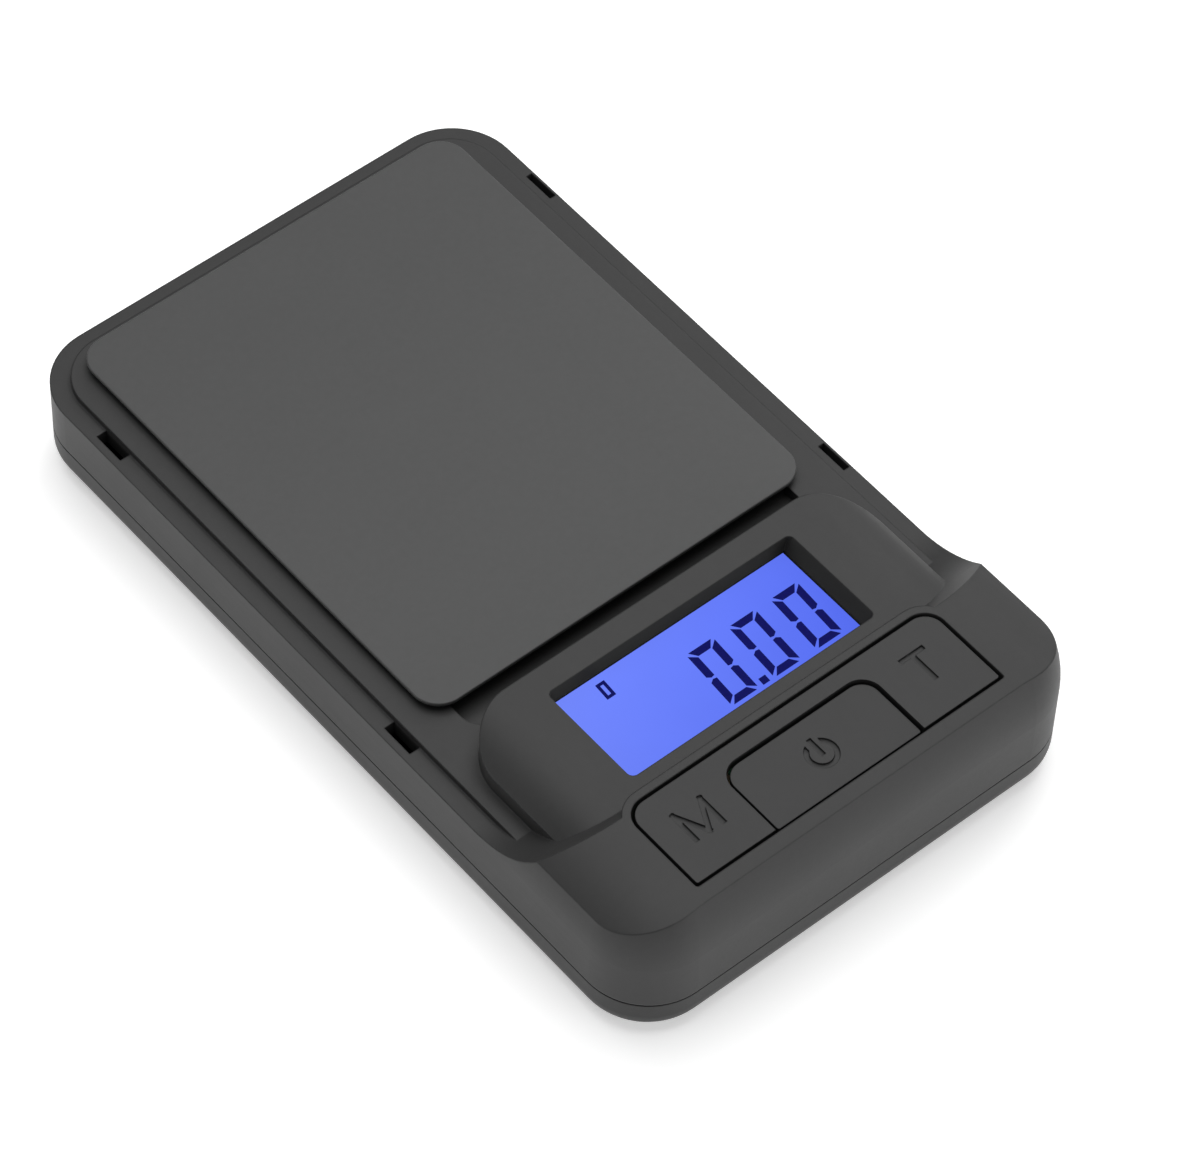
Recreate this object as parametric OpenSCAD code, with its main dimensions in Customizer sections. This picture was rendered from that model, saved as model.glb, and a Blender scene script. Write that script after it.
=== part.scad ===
// Pocket gram scale: a two-part case with a weighing platform on a bending-beam load cell,
// a lit liquid-crystal window, a bridge-shaped mode and tare key around a power key, and two cells.
// Origin: centre of the footprint, on the table. +X right, -Y towards the keys, +Z up. Millimetres.

/* [Case] */
// Width across the case, side to side
case_w = 70.6; // [68:0.2:90]
// Length of the case, from the keys' end to the platform's end
case_l = 119; // [112:0.5:150]
// Plan radius of the case's corners
corner_r = 9; // [8:0.5:11]
// Thickness of the side walls
wall = 1.8; // [1.4:0.1:2.2]
// Thickness of the floor of the lower shell
floor_t = 1.6; // [1.4:0.1:2.2]
// Radius of the rounded edge under the case
bottom_edge_r = 3; // [1.5:0.1:3.4]
// Height of the lower shell's wall, floor to seam
lower_h = 5.4; // [5:0.1:7]
// Height and depth of the groove along the seam
seam_groove = 0.2; // [0.15:0.05:0.5]
// Height of the lip that locates the upper shell
lip_h = 1.4; // [1:0.1:2]
// Thickness of that lip
lip_t = 0.9; // [0.7:0.05:1.2]
// Gap between the lip and the upper shell
lip_gap = 0.15; // [0.1:0.05:0.3]

/* [Rim and platform] */
// Width of the rim ledge at the sides
ledge_w = 2.6; // [2.2:0.1:3.2]
// Width of the rim ledge at the platform's end
ledge_rear_w = 2.3; // [1.6:0.1:2.4]
// Height of the deck above the rim ledge
deck_step = 0.9; // [0.6:0.1:1.4]
// Length of a clip slot
slot_l = 4.8; // [3:0.1:7]
// Width of a clip slot on the left side
slot_w = 1.5; // [1:0.1:1.6]
// Distance from the case's side to a clip slot on the left side
slot_side = 1.05; // [0.8:0.05:1.1]
// Width of a clip slot on the right side
slot_right_w = 0.9; // [0.5:0.05:1]
// Distance from the case's side to a clip slot on the right side
slot_right_side = 0.3; // [0.25:0.05:0.4]
// Depth of a clip slot
slot_depth = 4; // [2:0.1:4.4]
// Distance from the case's rear to the middle of the rear slots
slot_rear = 16.7; // [12:0.1:24]
// Distance from the case's side to the platform's side
plat_side = 5.8; // [5.2:0.1:7]
// Distance from the case's rear to the platform's rear edge
plat_rear = 3.5; // [3.4:0.1:5]
// Gap between the platform's front edge and the display block
plat_front_gap = 4.4; // [2:0.1:5]
// Plan radius of the platform's rear corners
plat_rear_r = 3.8; // [3:0.1:8]
// Plan radius of the platform's front corners
plat_front_r = 3.8; // [3:0.1:8]
// Thickness of the platform's plate
plat_t = 1.2; // [1:0.1:2]
// Height of the platform's top above the deck
plat_proud = 1.4; // [0.8:0.1:2]
// Thickness of the platform's overhanging rim
rim_t = 0.6; // [0.5:0.05:0.8]
// How far that rim overhangs the skirt
rim_out = 1.6; // [1:0.1:2]
// Thickness of the platform's skirt
skirt_t = 1.2; // [0.8:0.1:1.6]
// Gap between the skirt and the pocket that it sits in
pocket_gap = 0.8; // [0.5:0.05:0.9]
// Distance from the middle to each end of the trench in front of the platform
trench_x = 26.5; // [15:0.5:27]
// How far the platform sinks at full load
plat_travel = 0.3; // [0.2:0.02:0.34]

/* [Load cell] */
// Length of the bending beam
beam_l = 47; // [40:0.5:55]
// Width of the beam
beam_w = 12; // [9:0.5:15]
// Height of the beam
beam_h = 6; // [5:0.1:8]
// Radius of the two holes that thin the beam
flexure_r = 2.3; // [1.8:0.1:2.4]
// Distance from the beam's centre to each of those holes
flexure_x = 4.5; // [3:0.1:6]
// Distance from the beam's end to its first screw
screw_end = 4.5; // [4:0.1:6]
// Distance between the two screws at each end
screw_pitch = 7.5; // [6:0.1:9]
// Radius of the beam's screws
beam_screw_r = 1.4; // [1.2:0.05:1.6]
// Height of the boss that carries the beam
boss_h = 1; // [0.8:0.1:2]
// Thickness of the shim under the beam's fixed end
shim_t = 0.8; // [0.5:0.1:1.5]
// Thickness of the gauge coating on the beam
coating_t = 0.4; // [0.2:0.1:0.6]
// Gap between the beam's top and the pocket floor's underside
beam_roof_gap = 1; // [0.8:0.1:2]
// Thickness of the pocket's floor
pocket_t = 1.4; // [1.2:0.1:2]
// Thickness of the steel bracket under the platform
bracket_t = 0.8; // [0.8:0.1:1.2]
// Gap between the bracket and the pocket's floor
bracket_gap = 0.4; // [0.36:0.02:0.6]
// Thickness of the pads between the bracket and the platform
pad_t = 0.7; // [0.4:0.1:1]
// Thickness of the wires from the gauges
wire_d = 0.8; // [0.5:0.1:1]

/* [Display block] */
// Distance from the case's front to the display block's rear wall
head_l = 40.3; // [39.8:0.1:46]
// Distance from the case's side to the display block's side
bezel_side = 4.9; // [4.4:0.1:6]
// Plan radius of the display block's rear corners
bezel_r = 8; // [5:0.1:9]
// Fall of the display block's top from its flat part to its side edge
bezel_drop = 2.7; // [1.5:0.1:2.8]
// Flat margin beside the window before the top rolls off
bezel_flat = 4; // [3:0.1:5]
// Width of the window at the top of its recess
window_w = 38; // [30:0.5:46]
// Length of the window at the top of its recess
window_l = 15.6; // [12:0.1:15.8]
// Distance from the display block's rear wall to the window
window_rear = 3.65; // [3.6:0.05:4.2]
// Depth of the display below the block's top
window_depth = 2.6; // [2.3:0.1:3]
// Inward lean of the recess's left and right walls over its depth
window_lean_x = 1.1; // [0:0.1:1.4]
// Plan radius of the recess's corners at its top
window_r = 0.9; // [0.4:0.1:1.2]
// Inward lean of its front and rear walls
window_lean_y = 0.25; // [0:0.05:0.6]
// Overlap of the display's glass beyond the window at the sides
glass_side = 1.5; // [1:0.1:1.6]
// Overlap of the glass beyond the window at the rear
glass_rear = 0.6; // [0.5:0.05:0.8]
// Thickness of the display's glass
glass_t = 1.1; // [0.9:0.1:1.2]
// Thickness of the backlight
light_t = 1.6; // [1.2:0.1:1.8]
// Thickness of the foam gasket round the glass
gasket_t = 0.3; // [0.2:0.05:0.4]
// Thickness of the walls of the display holder
holder_t = 1.2; // [0.8:0.1:1.4]

/* [Key panel] */
// Length of the key panel along its side edges
panel_l = 19.8; // [19:0.1:22]
// Height of the key panel above the display block's top
panel_step = 1.7; // [1:0.1:2.5]
// Fall of the panel's top from its flat part to its side edge
panel_drop = 3.2; // [2:0.1:3.4]
// Radius of the concave ramp that rises to the panel
ramp_r = 14.3; // [10:0.1:16]
// How far the case's outer face has leaned in at the panel's height
front_lean = 1.65; // [1:0.05:2]
// Width of the key opening
keys_w = 47.8; // [42:0.2:48]
// Length of the key opening
keys_l = 13.6; // [12.8:0.1:13.6]
// Distance from the case's front to the key opening
keys_front = 3.8; // [3.6:0.1:4.4]
// Plan radius of the key opening's rear corners
keys_r = 3; // [2:0.1:4]
// Gap around and between the keys
key_gap = 0.45; // [0.3:0.05:0.6]
// Width of the power key
power_w = 22.2; // [18:0.2:24]
// Length of the power key
power_l = 10.05; // [8:0.05:10.05]
// Plan radius of the power key's rear corners
power_r = 2.4; // [1:0.1:3]
// Thickness of the keys' tops
key_t = 1.3; // [1:0.1:1.6]
// How far the mode and tare key lies below the panel
bridge_set = 0.1; // [0:0.05:0.4]
// How far the power key lies below the panel
power_set = 0.45; // [0:0.05:0.6]
// Travel of the power key
power_travel = 0.5; // [0.3:0.05:0.5]
// Height of the marks sunk into the keys
mark_l = 4.8; // [3:0.1:5.4]
// Width of the marks' strokes
mark_w = 0.65; // [0.3:0.05:0.8]
// Depth of the marks
mark_depth = 0.3; // [0.1:0.05:0.4]
// Margin of the raised block around the key opening
block_margin = 1.1; // [0.8:0.1:1.4]
// Radius of the pin that the mode and tare key rocks on
pivot_r = 0.6; // [0.5:0.05:0.8]
// Radial clearance of that pin in the key
pivot_clear = 0.06; // [0.03:0.01:0.1]
// Depth of the pin's axis below the panel
pivot_depth = 2.8; // [2.6:0.1:3]

/* [Electronics] */
// Thickness of the circuit board
board_t = 1; // [0.8:0.1:1.2]
// Gap between the insulating sheet and the circuit board
board_gap = 0.9; // [0.8:0.1:1.2]
// Side of a key switch's housing
switch_w = 5; // [4:0.1:6]
// Height of a key switch's housing
switch_h = 1.9; // [1.6:0.1:2.2]
// Radius of a key switch's plunger
plunger_r = 1.05; // [0.8:0.05:1.2]
// Gap around a plunger in its housing
plunger_gap = 0.3; // [0.25:0.05:0.4]
// Distance of the board's screws from its side edges
board_screw = 1.5; // [1.4:0.1:1.8]

/* [Cells] */
// Diameter of a cell
cell_d = 10.5; // [10:0.1:14]
// Length of a cell with its nub
cell_l = 44.5; // [42:0.1:45]
// Gap between and around the cells
cell_gap = 0.4; // [0.3:0.05:0.6]
// Length of a contact spring when a cell is in
spring_l = 3.2; // [2.5:0.1:4]
// Thickness of the contact plates
contact_t = 0.4; // [0.3:0.05:0.5]
// Thickness of the ribs round the cells
rib_t = 1; // [0.8:0.1:1.2]
// Thickness of the battery door
door_t = 1.4; // [1.2:0.1:1.5]
// Gap around the battery door
door_gap = 0.3; // [0.2:0.05:0.4]
// Radius of the battery door's hinge pins
hinge_r = 0.4; // [0.3:0.05:0.5]
// Radial clearance of the hinge pins in the lower shell
hinge_clear = 0.06; // [0.03:0.01:0.1]

/* [Feet and fasteners] */
// How far the feet stand below the case
foot_proud = 0.6; // [0.4:0.1:1]
// Depth of the feet's sockets
foot_socket = 0.5; // [0.3:0.1:0.8]
// Radius of a foot
foot_r = 2.6; // [2:0.1:2.8]
// Distance of the feet from the sides and ends
foot_in = 6.6; // [6.4:0.1:8]
// Radius of the case screws
screw_r = 1; // [0.8:0.05:1.1]
// Radius of the case screws' heads
screw_head_r = 1.9; // [1.6:0.05:2]
// Height of the case screws' heads
screw_head_h = 1; // [0.8:0.1:1.2]
// Distance of the case screws from the sides
screw_side = 5.4; // [5.3:0.1:5.8]
// Size of the blank rating plate
plate_l = 20; // [10:0.5:22]
// Width of the blank rating plate
plate_w = 40; // [20:0.5:50]
// Thickness of the rating plate
plate_t = 0.2; // [0.1:0.05:0.3]

/* [Hidden] */
$fn = 72;

eps = 0.01;
big = 400;
shell_black = [0.15, 0.15, 0.15];
steel = [0.72, 0.73, 0.75];

// Places along the case
y_front = -case_l / 2;
y_rear = case_l / 2;
bezel_rear = y_front + head_l;
plat_w = case_w - 2 * plat_side;
plat_y0 = bezel_rear + plat_front_gap;
plat_y1 = y_rear - plat_rear;
plat_mid = (plat_y0 + plat_y1) / 2;
plat_l = plat_y1 - plat_y0;

// Heights of the platform's stack, from the table up
base_z = foot_proud;
inside_z = base_z + floor_t;
seam_z = base_z + lower_h;
beam_z = inside_z + boss_h + shim_t;
beam_top = beam_z + beam_h;
pocket_under = beam_top + beam_roof_gap;
pocket_z = pocket_under + pocket_t;
bracket_z = pocket_z + bracket_gap;
plat_under = bracket_z + bracket_t + pad_t;
plat_top = plat_under + plat_t;
deck_z = plat_top - plat_proud;
ledge_z = deck_z - deck_step;
skirt_z = pocket_z + bracket_gap + 0.1;

// Heights of the display and key stack
door_top = base_z + door_t;
cell_z = door_top + 0.3 + cell_d / 2;
sheet_z = cell_z + cell_d / 2 + 0.2;
sheet_t = 0.3;
tray_z = sheet_z + sheet_t + 0.1;
tray_t = 0.5;
light_z = tray_z + tray_t + 0.05;
glass_z = light_z + light_t + 0.05;
glass_top = glass_z + glass_t;
bezel_top = glass_top + window_depth;
panel_top = bezel_top + panel_step;
board_z = sheet_z + sheet_t + board_gap;
board_top = board_z + board_t;
bridge_top = panel_top - bridge_set;
power_top = panel_top - power_set;
roof_t = 1.6;
pivot_z = panel_top - pivot_depth;
plunger_top = board_top + 2.7;
plunger_foot = board_top + 1.2;

// Window, glass and holder
win_y1 = bezel_rear - window_rear;
win_y0 = win_y1 - window_l;
win_mid = (win_y0 + win_y1) / 2;
bezel_w = case_w - 2 * bezel_side;
bezel_flat_x = window_w / 2 + bezel_flat;
glass_w = window_w + 2 * glass_side;
glass_y0 = win_y0 - 1.5;
glass_y1 = win_y1 + glass_rear;
bezel_wall = 1.5;
holder_gap = 0.2;
holder_x = glass_w / 2 + holder_gap + holder_t;
holder_y1 = glass_y1 + holder_gap + holder_t;

// Keys
keys_y0 = y_front + keys_front;
keys_y1 = keys_y0 + keys_l;
key_front = keys_y0 + key_gap;
key_rear = keys_y1 - key_gap;
bridge_w = keys_w - 2 * key_gap;
power_rear = key_front + power_l;
side_key_x = (bridge_w / 2 + power_w / 2 + key_gap) / 2;
side_key_y = (key_front + key_rear) / 2;
power_key_y = (key_front + power_rear) / 2;
switch_places = [[-side_key_x, side_key_y], [0, power_key_y], [side_key_x, side_key_y]];
lug_r = 1.2;
lug_y0 = power_rear + key_gap + 0.25;
lug_y1 = key_rear - 0.1;
pin_y0 = lug_y0 + 0.1;
pin_y1 = keys_y1 + 2;

// Panel and ramp
panel_flat_x = keys_w / 2 + 0.2;
panel_edge_z = panel_top - panel_drop;
ridge_y = y_front + panel_l;
ramp_rise = ramp_r * (1 - cos(45));
ramp_turn_z = ledge_z + ramp_rise;
ramp_turn_y = ridge_y + (panel_edge_z - ramp_turn_z);
ramp_foot_y = ramp_turn_y + ramp_r * sin(45);
lean_h = panel_top - ledge_z;
lean_r = (lean_h * lean_h + front_lean * front_lean) / (2 * front_lean);

// Cells and their bay
bay_half = (cell_l + spring_l) / 2 + contact_t;
bay_y0 = y_front + wall + 2.7;
cell_y = [bay_y0 + cell_gap + cell_d / 2, bay_y0 + 2 * cell_gap + 1.5 * cell_d];
bay_y1 = cell_y[1] + cell_d / 2 + cell_gap;
bay_top = cell_z + 2;
contact_w = min(8, cell_d - 1.5);
door_x = bay_half - door_gap;
door_y0 = bay_y0 + door_gap;
door_y1 = bay_y1 - door_gap;
hinge_y = door_y0 + door_t / 2;
hinge_z = base_z + door_t / 2;
hinge_x = bay_half + 1.1;

// Board
board_x = max(bay_half + 3.4, keys_w / 2 + board_screw + 2.3);
board_y0 = y_front + wall + 1.5;
board_y1 = keys_y1 + 0.6;
board_screws_at = [for (sx = [-1, 1], y = [board_y0 + 2.2, board_y1 - 2])
    [sx * (board_x - board_screw), y]];
head_x = board_x + 0.7;

// Fasteners and feet
case_screws_at = [for (sx = [-1, 1], y = [bay_y0 + 12.3, y_rear - 18.5])
    [sx * (case_w / 2 - screw_side), y]];
feet_at = [for (sx = [-1, 1], sy = [-1, 1])
    [sx * (case_w / 2 - foot_in), sy * (case_l / 2 - foot_in)]];
case_boss_r = 2.4;
beam_y0 = plat_mid - beam_l / 2;
beam_y1 = plat_mid + beam_l / 2;
fixed_screws_at = [for (k = [0, 1]) beam_y0 + screw_end + k * screw_pitch];
free_screws_at = [for (k = [0, 1]) beam_y1 - screw_end - k * screw_pitch];
riser_y0 = free_screws_at[1] - screw_end + 0.5;
stop_x = plat_w / 2 - 11.5;
stop_y = plat_l / 2 - 13;
bracket_w = 2 * stop_x + 8;
bracket_l = 2 * stop_y + 8;
stops_at = [for (sx = [-1, 1], sy = [-1, 1]) [sx * stop_x, plat_mid + sy * stop_y]];
slots_y = [plat_y0 + 1, y_rear - slot_rear];

// ---- Shared shapes ----

// Rectangle from corner to corner with its own radius at each end
module plan(x, y0, y1, r0, r1) {
    translate([-x, y0 + r0]) square([2 * x, y1 - y0 - r0 - r1]);
    translate([-x + r0, y0]) square([2 * (x - r0), r0 + eps]);
    translate([-x + r1, y1 - r1 - eps]) square([2 * (x - r1), r1 + eps]);
    for (sx = [-1, 1]) {
        translate([sx * (x - r0), y0 + r0]) circle(r0);
        translate([sx * (x - r1), y1 - r1]) circle(r1);
    }
}

// The case's footprint, drawn in by a given amount
module footprint(inset) {
    r = corner_r - inset;
    plan(case_w / 2 - inset, y_front + inset, y_rear - inset, r, r);
}

module slab(z0, z1) {
    translate([0, 0, z0]) linear_extrude(z1 - z0) children();
}

module block(x0, x1, y0, y1, z0, z1) {
    translate([x0, y0, z0]) cube([x1 - x0, y1 - y0, z1 - z0]);
}

// A block that is the same on both sides of the centre plane
module middle_block(x, y0, y1, z0, z1) {
    block(-x, x, y0, y1, z0, z1);
}

// A profile drawn in X and Z, run along Y
module along_y(y0, y1) {
    translate([0, y1, 0]) rotate([90, 0, 0]) linear_extrude(y1 - y0) children();
}

// A profile drawn in Y and Z, run along X
module along_x(x) {
    rotate([90, 0, 90]) translate([0, 0, -x]) linear_extrude(2 * x) children();
}

module post(at, r, z0, z1) {
    translate([at[0], at[1], z0]) cylinder(h = z1 - z0, r = r);
}

module pin_x(x, y, z, r) {
    translate([-x, y, z]) rotate([0, 90, 0]) cylinder(h = 2 * x, r = r);
}

module pin_y(y0, y1, z, r) {
    translate([0, y1, z]) rotate([90, 0, 0]) cylinder(h = y1 - y0, r = r);
}

// A top that is flat in the middle and rolls off to each side
module crown(flat_x, edge_x, top, drop) {
    run = edge_x - flat_x;
    r = (run * run + drop * drop) / (2 * drop);
    translate([-flat_x, 0]) square([2 * flat_x, top]);
    translate([-edge_x, 0]) square([2 * edge_x, top - drop]);
    for (sx = [-1, 1])
        intersection() {
            translate([sx * flat_x, top - r]) circle(r, $fn = 180);
            translate([sx > 0 ? flat_x - eps : -edge_x, 0]) square([run + eps, top]);
        }
}

// A tube of round section swept along points, with rings square to a path that never runs along X
function unit(v) = v / norm(v);
function way(p, i) = unit(p[min(i + 1, len(p) - 1)] - p[max(i - 1, 0)]);
function side_of(t) = unit(cross(t, [1, 0, 0]));
module sweep(p, r, sides = 8) {
    n = len(p);
    rings = [for (i = [0:n - 1], k = [0:sides - 1])
        let (t = way(p, i), u = side_of(t), v = cross(t, u), a = 360 * k / sides)
        p[i] + r * (cos(a) * u + sin(a) * v)];
    walls = [for (i = [0:n - 2], k = [0:sides - 1])
        let (a = i * sides + k, b = i * sides + (k + 1) % sides) [a, b, b + sides, a + sides]];
    start = [for (k = [sides - 1:-1:0]) k];
    end = [for (k = [0:sides - 1]) (n - 1) * sides + k];
    polyhedron(rings, concat(walls, [start, end]));
}

// Points on a smooth curve from a to b that leaves along da and arrives along db
function bend(a, da, b, db, n) = [for (i = [0:n])
    let (t = i / n, u = 1 - t)
    u * u * u * a + 3 * u * u * t * (a + da) + 3 * u * t * t * (b - db) + t * t * t * b];

// ---- Case ----

// Section of the lower shell between two outer faces, with its bottom edges rounded
module rounded_under(lo, hi) {
    r = bottom_edge_r;
    translate([lo, base_z + r]) square([hi - lo, lower_h - r]);
    translate([lo + r, base_z]) square([hi - lo - 2 * r, r + eps]);
    intersection() {
        translate([lo, base_z]) square([hi - lo, lower_h]);
        union() {
            translate([lo + r, base_z + r]) circle(r);
            translate([hi - r, base_z + r]) circle(r);
        }
    }
}

// All that lies inside the arc by which a side leans in above the rim
module lean_side(at, s) {
    translate([at + s * lean_r, ledge_z]) circle(lean_r, $fn = 360);
    translate([s > 0 ? at + lean_r : at - lean_r - big, ledge_z - lean_r]) square([big, 2 * lean_r]);
}

// Section of the upper shell: upright to the rim, then leaning in along an arc
module leaning(lo, hi) {
    translate([lo, seam_z]) square([hi - lo, ledge_z - seam_z]);
    intersection() {
        lean_side(lo, 1);
        lean_side(hi, -1);
        translate([lo, ledge_z - eps]) square([hi - lo, lean_h + 1]);
    }
}

module case_section(lower, lo, hi) {
    if (lower) rounded_under(lo, hi);
    else leaning(lo, hi);
}

// One shell's outside: its section run along both ways and turned at the corners
module case_body(lower) {
    corner_x = case_w / 2 - corner_r;
    corner_y = case_l / 2 - corner_r;
    along_y(-corner_y, corner_y) case_section(lower, -case_w / 2, case_w / 2);
    along_x(corner_x) case_section(lower, y_front, y_rear);
    for (sx = [-1, 1], sy = [-1, 1])
        translate([sx * corner_x, sy * corner_y, 0]) rotate_extrude() intersection() {
            case_section(lower, -corner_r, corner_r);
            square([corner_r, panel_top + 1]);
        }
}

module lip() {
    lip_out = wall + lip_gap;
    slab(seam_z - 2, seam_z + lip_h) difference() {
        footprint(lip_out);
        footprint(lip_out + lip_t);
    }
    slab(seam_z - 2, seam_z) difference() {
        footprint(wall - eps);
        footprint(lip_out + lip_t);
    }
}

module bay_walls() {
    difference() {
        middle_block(bay_half + rib_t, bay_y0 - rib_t, bay_y1 + rib_t, inside_z - eps, bay_top);
        middle_block(bay_half, bay_y0, bay_y1, inside_z - 1, bay_top + 1);
    }
}

module lower_shell() {
    color(shell_black) difference() {
        union() {
            difference() {
                case_body(true);
                slab(inside_z, seam_z + 1) footprint(wall);
            }
            lip();
            bay_walls();
            middle_block(beam_w / 2 + 1, beam_y0 - 0.5, fixed_screws_at[1] + screw_end, inside_z - eps,
                inside_z + boss_h);
            for (p = case_screws_at) post(p, case_boss_r, inside_z - eps, seam_z);
        }
        middle_block(bay_half, bay_y0, bay_y1, 0, inside_z + 1);
        pin_x(hinge_x + 0.1, hinge_y, hinge_z, hinge_r + hinge_clear);
        translate([0, bay_y1, base_z - eps]) cylinder(h = 0.6, r = 5);
        for (p = case_screws_at) {
            post(p, screw_r + 0.2, 0, seam_z + 1);
            post(p, screw_head_r + 0.1, 0, base_z + screw_head_h + 0.2);
        }
        for (y = fixed_screws_at) {
            post([0, y], beam_screw_r + 0.1, 0, beam_z);
            post([0, y], 2.8, 0, base_z + 1.4);
        }
        for (p = feet_at) post(p, foot_r, 0, base_z + foot_socket);
        middle_block(plate_w / 2 + 0.1, plat_mid + 8 - plate_l / 2 - 0.1, plat_mid + 8 + plate_l / 2 + 0.1,
            0, base_z + plate_t);
    }
}

// Solid under the concave ramp and the key panel behind the ridge
module ramp_profile() {
    top = panel_top + 5;
    difference() {
        polygon([[ramp_foot_y, ledge_z], [ramp_turn_y, ramp_turn_z],
            [ramp_turn_y - (top - ramp_turn_z), top], [y_front - 1, top], [y_front - 1, seam_z],
            [ramp_foot_y, seam_z]]);
        translate([ramp_foot_y, ledge_z + ramp_r]) circle(ramp_r, $fn = 180);
    }
}

module panel_crown() {
    crown(panel_flat_x, case_w / 2, panel_top, panel_drop);
}

module upper_body() {
    intersection() {
        union() {
            slab(seam_z, ledge_z) footprint(-1);
            slab(seam_z, deck_z)
                plan(case_w / 2 - ledge_w, ramp_foot_y - 8, y_rear - ledge_rear_w, 0.5, corner_r - 2);
            intersection() {
                slab(seam_z, panel_top) footprint(-1);
                along_x(case_w / 2 + 1) ramp_profile();
                along_y(y_front - 1, y_rear) panel_crown();
            }
            intersection() {
                slab(seam_z, bezel_top) plan(bezel_w / 2, y_front + 12, bezel_rear, 0.5, bezel_r);
                along_y(y_front, y_rear) crown(bezel_flat_x, bezel_w / 2, bezel_top, bezel_drop);
            }
            intersection() {
                slab(seam_z, panel_top) plan(keys_w / 2 + block_margin, keys_y0, keys_y1 + block_margin,
                    0.5, keys_r + block_margin);
                along_y(y_front, y_rear) panel_crown();
            }
        }
        case_body(false);
    }
}

module window_recess() {
    under = glass_top + gasket_t;
    depth = bezel_top - under;
    half = window_w / 2;
    lx = window_lean_x;
    ly = window_lean_y;
    intersection() {
        slab(under - 1, bezel_top + 1) plan(half, win_y0, win_y1, window_r, window_r);
        along_y(win_y0 - 1, win_y1 + 1)
            polygon([[-half + lx, under - 1], [half - lx, under - 1], [half - lx, under],
                [half, bezel_top], [half, bezel_top + 1], [-half, bezel_top + 1], [-half, bezel_top],
                [-half + lx, under]]);
        along_x(half)
            polygon([[win_y0 + ly, under - 1], [win_y1 - ly, under - 1], [win_y1 - ly, under],
                [win_y1, bezel_top], [win_y1, bezel_top + 1], [win_y0, bezel_top + 1],
                [win_y0, bezel_top], [win_y0 + ly, under]]);
    }
}

module key_opening(z0, z1) {
    slab(z0, z1) plan(keys_w / 2, keys_y0, keys_y1, 0.4, keys_r);
}

module platform_plan(out) {
    plan(plat_w / 2 + out, plat_y0 - out, plat_y1 + out, plat_front_r + out, plat_rear_r + out);
}

module platform_pocket() {
    slab(pocket_z, deck_z + 1) {
        platform_plan(pocket_gap - rim_out);
        plan(trench_x, bezel_rear, plat_y0 + plat_front_r + 1, 3, 0.5);
    }
}

module clip_slot(x, w, y) {
    block(x, x + w, y - slot_l / 2, y + slot_l / 2, ledge_z - slot_depth, ledge_z + 1);
}

module case_hollows() {
    slab(seam_z - 1, pocket_under) footprint(wall);
    // Under the ramp, the display block and the panel
    slab(pocket_under - 1, board_top + 0.1) plan(min(head_x, bezel_w / 2 - 2), y_front + wall + 0.6,
        bezel_rear - bezel_wall, 0.5, bezel_r - bezel_wall);
    middle_block(head_x, y_front + wall + 0.6, keys_y1 - 2.2, pocket_under - 1, board_top + 0.3);
    middle_block(holder_x + 1.5, win_y0 - 5, bezel_rear - bezel_wall, board_top, glass_top + gasket_t);
    middle_block(head_x - 0.2, y_front + wall + 1.4, keys_y1 - 0.4, board_top, panel_top - roof_t - 2);
    middle_block(keys_w / 2 + 0.6, y_front + wall + 1.6, keys_y1 - 0.4, board_top, panel_top - roof_t);
}

module upper_shell() {
    color(shell_black) difference() {
        union() {
            difference() {
                upper_body();
                case_hollows();
                platform_pocket();
            }
            for (p = case_screws_at) post(p, case_boss_r, seam_z, pocket_under + eps);
            for (p = board_screws_at) post(p, 1.6, board_top, panel_top - roof_t - 1.5);
        }
        slab(seam_z - 1, seam_z + seam_groove) difference() {
            footprint(-1);
            footprint(seam_groove);
        }
        window_recess();
        key_opening(board_top + 1, panel_top + 1);
        pin_y(keys_y1 - 1, pin_y1, pivot_z, pivot_r);
        for (y = slots_y) {
            clip_slot(-case_w / 2 + slot_side, slot_w, y);
            clip_slot(case_w / 2 - slot_right_side - slot_right_w, slot_right_w, y);
        }
        for (p = case_screws_at) post(p, screw_r, seam_z - 1, pocket_under - 0.5);
        for (p = board_screws_at) post(p, 0.8, board_top - 1, board_top + 2.4);
        // Opening for the riser and holes for the overload stops
        middle_block(beam_w / 2 + 0.8, riser_y0 - 0.8, beam_y1 + 0.8, pocket_under - 1, pocket_z + 1);
        for (p = stops_at) post(p, 1.2, pocket_under - 1, pocket_z + 1);
    }
}

// ---- Weighing platform and load cell ----

module weighing_platform() {
    color([0.18, 0.18, 0.18]) {
        slab(plat_top - rim_t, plat_top) platform_plan(0);
        slab(plat_under, plat_top - rim_t + eps) platform_plan(-rim_out);
        slab(skirt_z, plat_under + eps) difference() {
            platform_plan(-rim_out);
            platform_plan(-rim_out - skirt_t);
        }
    }
}

module platform_bracket() {
    color(steel) difference() {
        middle_block(bracket_w / 2, plat_mid - bracket_l / 2, plat_mid + bracket_l / 2, bracket_z,
            bracket_z + bracket_t);
        for (sx = [-1, 1], sy = [-1, 1])
            translate([sx * bracket_w / 4, plat_mid + sy * bracket_l / 7, bracket_z - 1])
                cylinder(h = bracket_t + 2, r = 4);
        for (y = free_screws_at) post([0, y], beam_screw_r + 0.1, bracket_z - 1, bracket_z + 2);
        for (y = free_screws_at) screw_cone(y, 0.05);
    }
}

module screw_cone(y, out) {
    translate([0, y, bracket_z + bracket_t - 0.75])
        cylinder(h = 0.75 + eps, r1 = beam_screw_r + out, r2 = beam_screw_r + 1.2 + out);
}

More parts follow.
